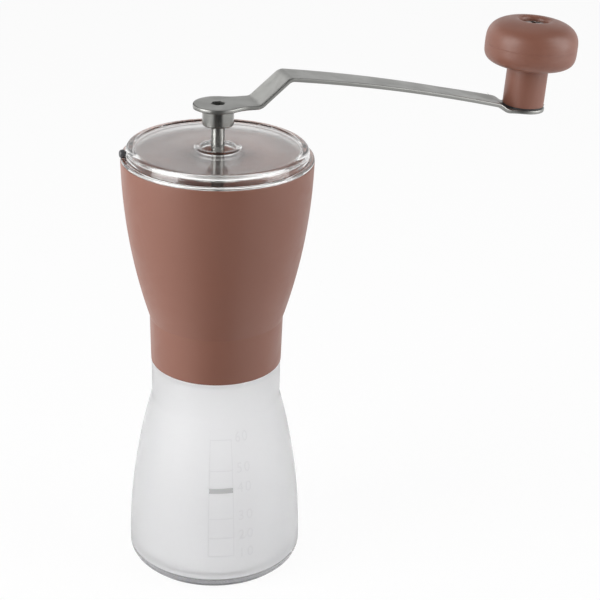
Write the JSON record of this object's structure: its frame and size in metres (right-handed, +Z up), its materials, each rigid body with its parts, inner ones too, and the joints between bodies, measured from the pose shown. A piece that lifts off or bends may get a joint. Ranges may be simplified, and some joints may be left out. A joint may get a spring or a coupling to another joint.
{
  "type": "manual coffee grinder",
  "caption": "Hourglass hand coffee mill: brown hopper on a screwed frosted jar, clear lid, conical ceramic burrs and a removable steel crank with a mushroom knob.",
  "frame": {"origin": "centre of the jar's ring foot, on the surface that the mill stands on", "axes": "+Z up along the drive shaft, +X from the shaft towards the crank's knob"},
  "size_m": [0.1808, 0.0718, 0.2137],
  "materials": {
    "brown_plastic": "satin moulded, terracotta brown",
    "knob_plastic": "satin moulded, terracotta brown",
    "frosted_plastic": "frosted translucent",
    "clear_plastic": "clear polished",
    "satin_steel": "satin",
    "bright_steel": "turned, bright",
    "ceramic": "unglazed white ceramic",
    "insert_brass": "turned",
    "black_plastic": "fine matt",
    "pull_plastic": "satin dark grey",
    "bush_plastic": "natural white",
    "seal": "soft silicone"
  },
  "bodies": {
    "jar": {"jar": "frosted_plastic"},
    "seal": {"seal_ring": "seal"},
    "hopper": {"hopper_shell": "brown_plastic", "burr_housing": "brown_plastic", "lower_bush": "bush_plastic", "upper_bush": "bush_plastic", "outer_burr": "ceramic", "burr_retainer": "black_plastic"},
    "lid": {"lid": "clear_plastic", "lid_pull": "pull_plastic"},
    "shaft": {"drive_shaft": "bright_steel", "thrust_washer": "bright_steel", "retaining_clip": "bright_steel", "spring": "bright_steel"},
    "burr": {"inner_burr": "ceramic", "burr_carrier": "black_plastic", "spring_washer": "bright_steel", "nut_washer": "bright_steel"},
    "nut": {"adjust_nut": "black_plastic", "nut_insert": "insert_brass"},
    "crank": {"crank_arm": "satin_steel", "crank_collar": "bright_steel", "knob_washer": "black_plastic", "knob_pin": "bright_steel"},
    "knob": {"knob": "knob_plastic"}
  },
  "joints": [
    {"name": "hopper_rise", "type": "slide", "parent": "jar", "child": "seal", "axis": [0, 0, 1], "range_m": [0, 0.03]},
    {"name": "hopper_unscrew", "type": "hinge", "parent": "seal", "child": "hopper", "pos_m": [0, 0, 0.0935], "axis": [0, 0, 1], "range_deg": [0, 540]},
    {"name": "shaft_turn", "type": "hinge", "parent": "hopper", "child": "shaft", "pos_m": [0, 0, 0.131], "axis": [0, 0, 1], "continuous": true},
    {"name": "burr_adjust", "type": "slide", "parent": "shaft", "child": "burr", "axis": [0, 0, 1], "range_m": [-0.001, 0.001], "deforming": ["spring"]},
    {"name": "nut_turn", "type": "hinge", "parent": "burr", "child": "nut", "pos_m": [0, 0, 0.0893], "axis": [0, 0, 1], "range_deg": [-360, 360]},
    {"name": "crank_lift", "type": "slide", "parent": "shaft", "child": "crank", "axis": [0, 0, 1], "range_m": [0, 0.08]},
    {"name": "knob_spin", "type": "hinge", "parent": "crank", "child": "knob", "pos_m": [0.1255, 0, 0.1791], "axis": [0.0523, 0, 0.9986], "continuous": true},
    {"name": "lid_lift", "type": "slide", "parent": "hopper", "child": "lid", "axis": [0, 0, 1], "range_m": [0, 0.04]}
  ],
  "couplings": [
    {"joint": "hopper_rise", "follows": "hopper_unscrew", "m_per_rad": 0.0031831},
    {"joint": "nut_turn", "follows": "burr_adjust", "rad_per_m": 6283.2},
    {"joint": "lid_lift", "follows": "crank_lift", "ratio": 0.5}
  ]
}
